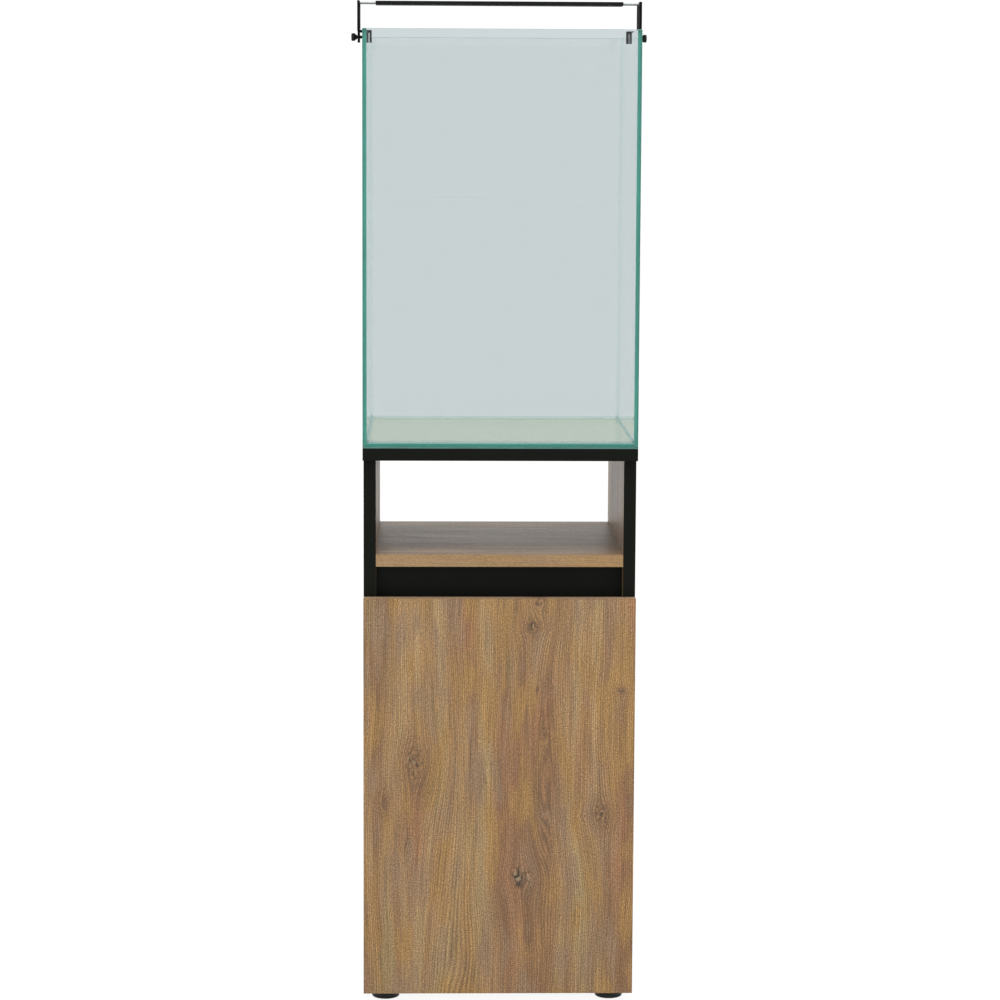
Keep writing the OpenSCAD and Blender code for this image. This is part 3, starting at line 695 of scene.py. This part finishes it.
def brushed(name, base, rough, axis):
    """Metal with fine brush lines along an axis."""
    material, tree = new_material(name)
    place = tree.split(tree.coords())
    stretched = [tree.mul(place[i], BRUSH_ALONG if i == axis else BRUSH_ACROSS) for i in range(3)]
    lines = tree.noise(tree.join(*stretched))
    tree.surface(tree.principled(
        Base_Color=tree.shaded(base, tree.step(lines, 0.25, 0.75, 0.85, 1.12)), Metallic=1.0,
        Roughness=tree.vary(lines, rough - 0.05, rough + 0.08),
        Normal=tree.bump(lines, distance=0.01 * MM, strength=0.5)))
    return material


FOAM_LIGHT, FOAM_DARK, FOAM_PIT_SHADE = rgb(92, 134, 127), rgb(84, 122, 116), rgb(60, 92, 88)


def foam():
    """Closed-cell foam: grey-green, matt, with fine cells whose hollows are darkened by painted shade."""
    material, tree = new_material("foam")
    spot = tree.coords()
    cells = tree.cells(spot, scale=900.0)
    base = tree.mix(tree.vary(tree.noise(spot, scale=30.0, detail=3.0)), FOAM_LIGHT, FOAM_DARK)
    # painted shade: the hollows of the cells are darkened
    base = tree.mix(tree.step(cells, 0.1, 0.5, 0.25, 0.0), base, FOAM_PIT_SHADE)
    tree.surface(tree.principled(
        Base_Color=base, Roughness=0.85, Specular_IOR_Level=0.2,
        Normal=tree.bump(cells, distance=0.15 * MM, strength=0.6)))
    return material


# Glass

GLASS_IOR = 1.5
FRONT_LIGHT = (0.580, 0.637, 0.659)     # what a pane lets through, both its faces together
BACK_LIGHT = (0.948, 0.964, 0.939)
SIDE_LIGHT = (0.80, 0.84, 0.85)
FLOOR_LIGHT = (0.75, 0.83, 0.8)
FLOOR_MIRROR = (0.915, 0.926, 0.81)     # the tint of what the tank's floor mirrors
EDGE_FREE = rgb(70, 150, 132)
EDGE_JOINED = (0.11, 0.735, 0.54)
EDGE_FLOOR = (0.02, 0.60, 0.41)
# the tone of a painted highlight on the upper part of the floor pane's edge
EDGE_PAINTED_HIGHLIGHT = (0.65, 1.0, 0.97)
# the pale tone of a painted highlight on glass edges that face up
EDGE_UP_HIGHLIGHT = rgb(176, 206, 198)
EDGE_ROUGH = 0.16
EDGE_CLOUDS = (9.0, 9.0, 7.0)   # how often a metre the edges' tone varies, along X, Y and Z
UNDERSIDE = rgb(96, 138, 128)
# painted highlight: the floor pane's edge turns bright between these depths
HIGHLIGHT_DEPTHS = (2.2 * MM, 1.5 * MM)     # depths in the floor pane between which its edge turns bright
FLAT = 0.9              # a normal's part along an axis, over which a pane's face counts as facing that way


def edge_colour(tree, name, axis, normal, glued):
    """The green of a pane's edges. At the sides, the edges of a glued pane are deeper, and the upper part of
    the floor pane's carries a painted highlight. Edges that face up are pale, also a painted highlight."""
    place = tree.split(tree.coords())
    joined = tree.most(*(tree.over(tree.size(normal[a]), FLAT) for a in (X, Y) if glued and a != axis))
    deep = EDGE_JOINED
    if axis == Z:
        # painted highlight on the upper part of the floor pane's edge
        low, high = (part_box(name)[1].z - depth for depth in HIGHLIGHT_DEPTHS)
        deep = tree.mix(tree.step(place[Z], low, high), EDGE_FLOOR, EDGE_PAINTED_HIGHLIGHT)
    colour = tree.mix(joined, EDGE_FREE, deep)
    # painted highlight: edges that face up are pale
    colour = tree.mix(tree.over(normal[Z], UPWARD), colour, EDGE_UP_HIGHLIGHT)
    spot = tree.join(*(tree.mul(part, often) for part, often in zip(place, EDGE_CLOUDS)))
    return tree.shaded(colour, tree.vary(tree.noise(spot), 0.92, 1.08))


def glass(name, axis, light, mirror=2.0, top=0.92, shine=WHITE, glued=True):
    """A pane whose thin axis is given. Its broad faces pass light and mirror it. mirror is the factor by
    which they mirror more than bare glass, top the largest share that they mirror, shine its tint."""
    material, tree = new_material("glass_" + name)
    from_inside = tree.node("ShaderNodeNewGeometry").outputs["Backfacing"]
    outward = tree.sub(1.0, tree.mul(from_inside, 2.0))
    normal = [tree.mul(part, outward) for part in tree.split(tree.coords("Normal"))]

    fresnel = tree.node("ShaderNodeFresnel", {"IOR": GLASS_IOR}).outputs[0]
    share = tree.mul(tree.least(tree.mul(fresnel, mirror), top), tree.sub(1.0, from_inside))
    see = tree.clear(tuple(math.sqrt(part) for part in light))
    gloss = tree.node("ShaderNodeBsdfAnisotropic", {"Color": shine, "Roughness": 0.0}).outputs[0]
    broad = tree.blend(share, see, gloss)

    colour = edge_colour(tree, name, axis, normal, glued)
    edge = tree.sub(1.0, tree.over(tree.size(normal[axis]), FLAT))
    if axis == Z:
        under = tree.under(normal[Z], -FLAT)
        edge = tree.most(edge, under)
        colour = tree.mix(under, colour, UNDERSIDE)
    rim = tree.principled(Base_Color=colour, Roughness=EDGE_ROUGH, Specular_IOR_Level=0.3)
    tree.surface(tree.blend(edge, broad, rim))
    assign(material, name)


MILK = (0.72, 1.0, 0.90)
# Heights over the floor pane between which the milky part and the tint change
MILK_HEIGHTS = (1.0 * MM, 9.0 * MM)
TINT_HEIGHTS = (3.0 * MM, 6.0 * MM)
# The strip at the foot of the side panes: its height, and how far inside the floor pane's edges it starts
SIDE_HEIGHT, SIDE_INSET = 5.0 * MM, 6.0 * MM


def clear_rubber(name, foot_colour, top_colour, share, sides=0.0):
    """Silicone or soft clear plastic: partly see-through, partly milky. share is the milky part at the foot
    and at the top of the tank, sides what is added at the foot of the side panes."""
    material, tree = new_material(name)
    cloud = tree.noise(tree.coords(), scale=120.0, detail=3.0)
    x, y, z = tree.split(tree.coords())
    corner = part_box("pane_bottom")[1]
    milky = tree.step(z, *(corner.z + height for height in MILK_HEIGHTS), *share)
    beside = tree.mul(tree.over(tree.size(x), corner.x - SIDE_INSET), tree.under(z, corner.z + SIDE_HEIGHT),
                      tree.under(tree.size(y), corner.y - SIDE_INSET))
    milky = tree.add(milky, tree.mul(beside, sides))
    tint = tree.step(z, *(corner.z + height for height in TINT_HEIGHTS))
    passed = tree.mix(tint, foot_colour, top_colour)
    milk = tree.principled(Base_Color=MILK, Roughness=0.25, Specular_IOR_Level=0.5,
                           Normal=tree.bump(cloud, distance=0.1 * MM, strength=0.4))
    milky = tree.mul(milky, tree.vary(cloud, 0.85, 1.15))
    tree.surface(tree.blend(milky, tree.clear(passed), milk))
    return material


# Pieces

SHARP = math.radians(40)    # edges between faces at more than this angle are sharp ones
WELD_GAP = 0.01 * MM


def add_piece(name, bm, material, body, slot, *replaced):
    """Makes a mesh piece, with shading that is smooth over all but sharp edges."""
    bmesh.ops.recalc_face_normals(bm, faces=bm.faces)
    for face in bm.faces:
        face.smooth = True
    for line in bm.edges:
        line.smooth = line.is_manifold and line.calc_face_angle(0.0) < SHARP
    mesh = bpy.data.meshes.new(name)
    bm.to_mesh(mesh)
    bm.free()
    mesh.materials.append(material)
    piece = bpy.data.objects.new(name, mesh)
    scene.collection.objects.link(piece)
    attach(piece, body)
    if replaced:
        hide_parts(*replaced)


def skin(bm, rings):
    """Joins rings of equally many points into a closed tube."""
    loops = [[bm.verts.new(p) for p in ring] for ring in rings]
    count = len(loops[0])
    for a, b in zip(loops, loops[1:]):
        for i in range(count):
            bm.faces.new((a[i], a[(i + 1) % count], b[(i + 1) % count], b[i]))
    bm.faces.new(loops[0])
    bm.faces.new(reversed(loops[-1]))


BEAD_LEG = 3.0 * MM
BEAD_STEP = 6 * MM
BEAD_CLEAR = 0.02 * MM      # keeps the beads off the panes' faces
BEAD_FOOT = 0.3             # where the upright beads start, as a share of the leg
BEAD_END = 0.6 * MM         # how far they stop under the rim
BEAD_ARC = 6                # steps in the hollow face
BEAD_TIP = 0.93             # where the legs end, as a share of the leg
BEAD_HOLLOW = 0.24          # how far the hollow face bows out of the corner, as a share of the leg
BEAD_PHASE = 1.7            # shifts each upright bead's wavering from the last one's
# How each leg wavers: by which share, radians a metre, factor of the bead's phase
WAVES_A = ((0.07, 71, 1), (0.05, 193, 2))
WAVES_B = ((0.07, 59, 3), (0.05, 167, 1))


def waver(waves, along, phase):
    """The factor by which a leg is longer or shorter at a place along its bead."""
    total = 1.0
    for share, turn, times in waves:
        total += share * math.sin(along * turn + times * phase)
    return total


def bead(bm, start, end, side_a, side_b, phase):
    """A silicone bead with a hollow face along a corner of the tank. Its legs run along side_a and side_b,
    and waver a little, as a bead wiped by hand does."""
    run = end - start
    steps = max(2, round(run.length / BEAD_STEP))
    rings = []
    for i in range(steps + 1):
        along = run.length * i / steps
        corner = start + run * (i / steps) + (side_a + side_b) * BEAD_CLEAR
        tip_a = side_a * (BEAD_LEG * waver(WAVES_A, along, phase) * BEAD_TIP)
        tip_b = side_b * (BEAD_LEG * waver(WAVES_B, along, phase) * BEAD_TIP)
        middle = (side_a + side_b) * (BEAD_LEG * BEAD_HOLLOW)
        ring = [corner]
        for j in range(BEAD_ARC + 1):
            t = j / BEAD_ARC
            ring.append(corner + tip_a * (1 - t) ** 2 + middle * (2 * t * (1 - t)) + tip_b * t ** 2)
        rings.append(ring)
    skin(bm, rings)


def silicone_beads():
    low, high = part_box("silicone_seams")
    x_axis, y_axis, z_axis = Vector((1, 0, 0)), Vector((0, 1, 0)), Vector((0, 0, 1))
    bm = bmesh.new()
    for i, (sx, sy) in enumerate(((-1, -1), (1, -1), (1, 1), (-1, 1))):
        x, y = (low.x if sx < 0 else high.x), (low.y if sy < 0 else high.y)
        foot = Vector((x, y, low.z + BEAD_LEG * BEAD_FOOT))
        bead(bm, foot, Vector((x, y, high.z - BEAD_END)), x_axis * -sx, y_axis * -sy, i * BEAD_PHASE)
    for i, s in enumerate((-1, 1)):
        y = low.y if s < 0 else high.y
        bead(bm, Vector((low.x, y, low.z)), Vector((high.x, y, low.z)), y_axis * -s, z_axis, phase=0.8 + i)
        x = low.x if s < 0 else high.x
        bead(bm, Vector((x, low.y, low.z)), Vector((x, high.y, low.z)), x_axis * -s, z_axis, phase=2.9 + i)
    rubber = clear_rubber("silicone", foot_colour=(0.975, 1.0, 0.995), top_colour=(0.99, 1.0, 0.999),
                          share=(0.1, 0.02), sides=0.7)
    add_piece("silicone_beads", bm, rubber, "root", "silicone", "silicone_seams")


KNOB_LENGTH = 7.0 * MM
KNOB_NOTCHES = 16
NOTCH_DEPTH = 0.45 * MM
NOTCH_STEPS = 8             # points in a notch
# The knob's outline: distance from its inner face and radius, as shares, and share of the notches' depth
KNOB_LINE = (
    (0.0, 0.60, 0.0), (0.06, 0.68, 0.2), (0.26, 0.96, 0.9), (0.32, 1.0, 1.0), (0.78, 1.0, 1.0),
    (0.90, 0.94, 0.6), (0.97, 0.80, 0.0), (1.0, 0.60, 0.0), (0.97, 0.50, 0.0), (0.955, 0.2, 0.0),
)
NECK_RADIUS = 3.5 * MM
NECK_LENGTH = 1.6 * MM
NECK_SINK = 0.1 * MM        # how deep the neck reaches into the knob
NECK_BEVEL = 0.2 * MM
TIP_LENGTH = 0.5 * MM       # the screw's tip narrows over this length, by TIP_DEPTH
TIP_DEPTH = 0.4 * MM
THREAD_PITCH = 0.8 * MM
THREAD_HALF = THREAD_PITCH * 0.42
THREAD_CORE = 2.1 * MM
THREAD_TIP = 2.5 * MM
THREAD_SINK = 0.05 * MM     # how deep the thread's foot lies in its core
THREAD_START = 0.5 * MM     # how far the thread stays off the neck
THREAD_END = 0.9 * MM       # and off the tip
THREAD_STEPS = 28           # points in a turn


def thumb_screw(side, sign, material):
    """A screw with a notched, domed knob and a rolled thread."""
    low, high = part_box("thumb_screw_" + side)
    y, z = (low.y + high.y) / 2, (low.z + high.z) / 2
    end, tip = (high.x, low.x) if sign > 0 else (-low.x, -high.x)
    radius = (high.z - low.z) / 2
    face = end - KNOB_LENGTH
    shoulder = face - NECK_LENGTH
    bm = bmesh.new()

    def spot(out, r, angle):
        return Vector((sign * out, y + r * math.cos(angle), z + r * math.sin(angle)))

    def ring(out, r, count, depth=0.0):
        angles = [2 * math.pi * i / count for i in range(count)]
        return [spot(out, r - depth * (0.5 + 0.5 * math.cos(KNOB_NOTCHES * a)) ** 2, a) for a in angles]

    skin(bm, [ring(face + KNOB_LENGTH * at, radius * share, KNOB_NOTCHES * NOTCH_STEPS, NOTCH_DEPTH * depth)
              for at, share, depth in KNOB_LINE])
    line = ((face + NECK_SINK, NECK_RADIUS), (shoulder + NECK_BEVEL, NECK_RADIUS),
            (shoulder, NECK_RADIUS - NECK_BEVEL), (shoulder - THREAD_SINK, THREAD_CORE),
            (tip + TIP_LENGTH, THREAD_CORE), (tip, THREAD_CORE - TIP_DEPTH))
    skin(bm, [ring(out, r, THREAD_STEPS) for out, r in line])
    first, last = shoulder - THREAD_START, tip + THREAD_END
    turns = (first - last) / THREAD_PITCH
    rings = []
    for i in range(round(turns * THREAD_STEPS) + 1):
        out = first - THREAD_PITCH * i / THREAD_STEPS
        angle = 2 * math.pi * i / THREAD_STEPS
        foot = THREAD_CORE - THREAD_SINK
        rings.append([spot(out - THREAD_HALF, foot, angle), spot(out, THREAD_TIP, angle),
                      spot(out + THREAD_HALF, foot, angle)])
    skin(bm, rings)
    add_piece("knob_screw_" + side, bm, material, "screw_" + side, "knob_plastic", "thumb_screw_" + side)


def soften(width, *names, shrink=0.0):
    """Breaks sharp edges, as real boards, panes and plates have them. shrink draws all faces in a little."""
    for name in names:
        piece = nodes[name]
        weld = piece.modifiers.new("weld", "WELD")
        weld.merge_threshold = WELD_GAP
        if shrink:
            displace = piece.modifiers.new("displace", "DISPLACE")
            displace.mid_level = 0.0
            displace.strength = -shrink * math.sqrt(3.0)    # a box's corners move along its diagonals
        bevel = piece.modifiers.new("bevel", "BEVEL")
        bevel.width = width
        bevel.segments = 2
        bevel.limit_method = "ANGLE"
        bevel.angle_limit = SHARP
        bevel.harden_normals = True


# Materials on the parts

PANES = ("pane_front", "pane_back", "pane_left", "pane_right", "pane_bottom")
FEET = ("foot_front_left", "foot_front_right", "foot_back_left", "foot_back_right")
HINGE_PARTS = ("hinge_cup", "hinge_arm", "hinge_plate", "outer_links", "inner_link")
HINGE_FASTENERS = ("hinge_cup_screws", "hinge_plate_screws", "hinge_arm_screws", "hinge_arm_pins",
                   "hinge_cup_pins")

for board in ("top_board", "grip_rail"):
    black_board(board)
oak_board("side_panel_left", Y, Z, seed=5.3, black_faces=((X, -1), (Y, -1), (Y, 1), (Z, -1), (Z, 1)))
oak_board("side_panel_right", Y, Z, seed=8.6, black_faces=((X, 1), (Y, -1), (Y, 1), (Z, -1), (Z, 1)))
oak_board("door_panel", X, Z, knots=DOOR_KNOTS, lines=DOOR_LINES, lean=DOOR_LEAN)
oak_board("niche_shelf", Y, X, seed=3.1, lines=SHELF_LINES, calm=0.6)
oak_board("bottom_board", Y, X, seed=1.4)
oak_board("inner_shelf", Y, X, seed=6.2)
oak_board("back_panel", X, Z, seed=2.5)

glass("pane_front", Y, FRONT_LIGHT, mirror=1.1, glued=False)
glass("pane_back", Y, BACK_LIGHT, glued=False)
glass("pane_left", X, SIDE_LIGHT)
glass("pane_right", X, SIDE_LIGHT)
glass("pane_bottom", Z, FLOOR_LIGHT, mirror=1.5, top=0.9, shine=FLOOR_MIRROR)
silicone_beads()

assign(foam(), "foam_mat")
assign(plain("black_paint", rgb(16, 17, 17), rgb(21, 22, 22),
             rough=0.8, specular=0.05, grain=0.02 * MM, scale=1500.0),
       "hanger_left", "hanger_right")
assign(plain("lamp_black", rgb(22, 23, 23), rgb(27, 28, 28),
             rough=0.65, specular=0.1, grain=0.02 * MM, scale=1800.0),
       "lamp_housing", "end_cap_left", "end_cap_right")
knob_plastic = plain("knob_plastic", rgb(17, 17, 17), rgb(24, 24, 24),
                     rough=0.5, specular=0.2, grain=0.04 * MM, scale=2200.0)
thumb_screw("left", -1, knob_plastic)
thumb_screw("right", 1, knob_plastic)
assign(plain("pad_rubber", rgb(20, 20, 20), rgb(27, 27, 27), rough=0.8, specular=0.15, grain=0.05 * MM),
       "screw_pad_left", "screw_pad_right")
assign(plain("foot_plastic", rgb(17, 17, 17), rgb(22, 22, 22),
             rough=0.45, specular=0.25, grain=0.05 * MM, scale=1500.0), *FEET)
assign(plain("diffuser", rgb(84, 87, 86), rgb(76, 79, 78), rough=0.85, specular=0.05, grain=0.03 * MM),
       "lamp_diffuser")
assign(plain("led_board", rgb(214, 220, 210), rgb(200, 208, 196), rough=0.5, specular=0.4), "led_board")
assign(plain("beech", rgb(205, 172, 122), rgb(180, 146, 98),
             rough=0.7, specular=0.3, grain=0.1 * MM, scale=500.0), "dowels")
assign(plain("nickel", (0.62, 0.60, 0.56), (0.52, 0.50, 0.47),
             rough=0.26, specular=0.5, grain=0.01 * MM, metal=1.0),
       *(f"{part}_{place}" for place in ("upper", "lower") for part in HINGE_PARTS), *HINGE_FASTENERS)
assign(plain("zinc", (0.55, 0.56, 0.57), (0.44, 0.45, 0.46),
             rough=0.36, specular=0.5, grain=0.02 * MM, metal=1.0),
       "shelf_pins", "cam_locks", "cam_bolts", "foot_inserts", "lamp_inlet")
assign(brushed("rod_steel", (0.40, 0.41, 0.42), rough=0.3, axis=X), "rods_left", "rods_right")
assign(clear_rubber("bumper_clear", foot_colour=(0.9, 0.95, 0.95), top_colour=(0.9, 0.95, 0.95),
                    share=(0.5, 0.5)), "door_bumpers")

soften(0.4 * MM, "top_board", "grip_rail", "side_panel_left", "side_panel_right", "door_panel", "niche_shelf",
       "bottom_board", "inner_shelf")
soften(0.5 * MM, *PANES, shrink=0.03 * MM)
soften(0.3 * MM, "hanger_left", "hanger_right", "lamp_diffuser")
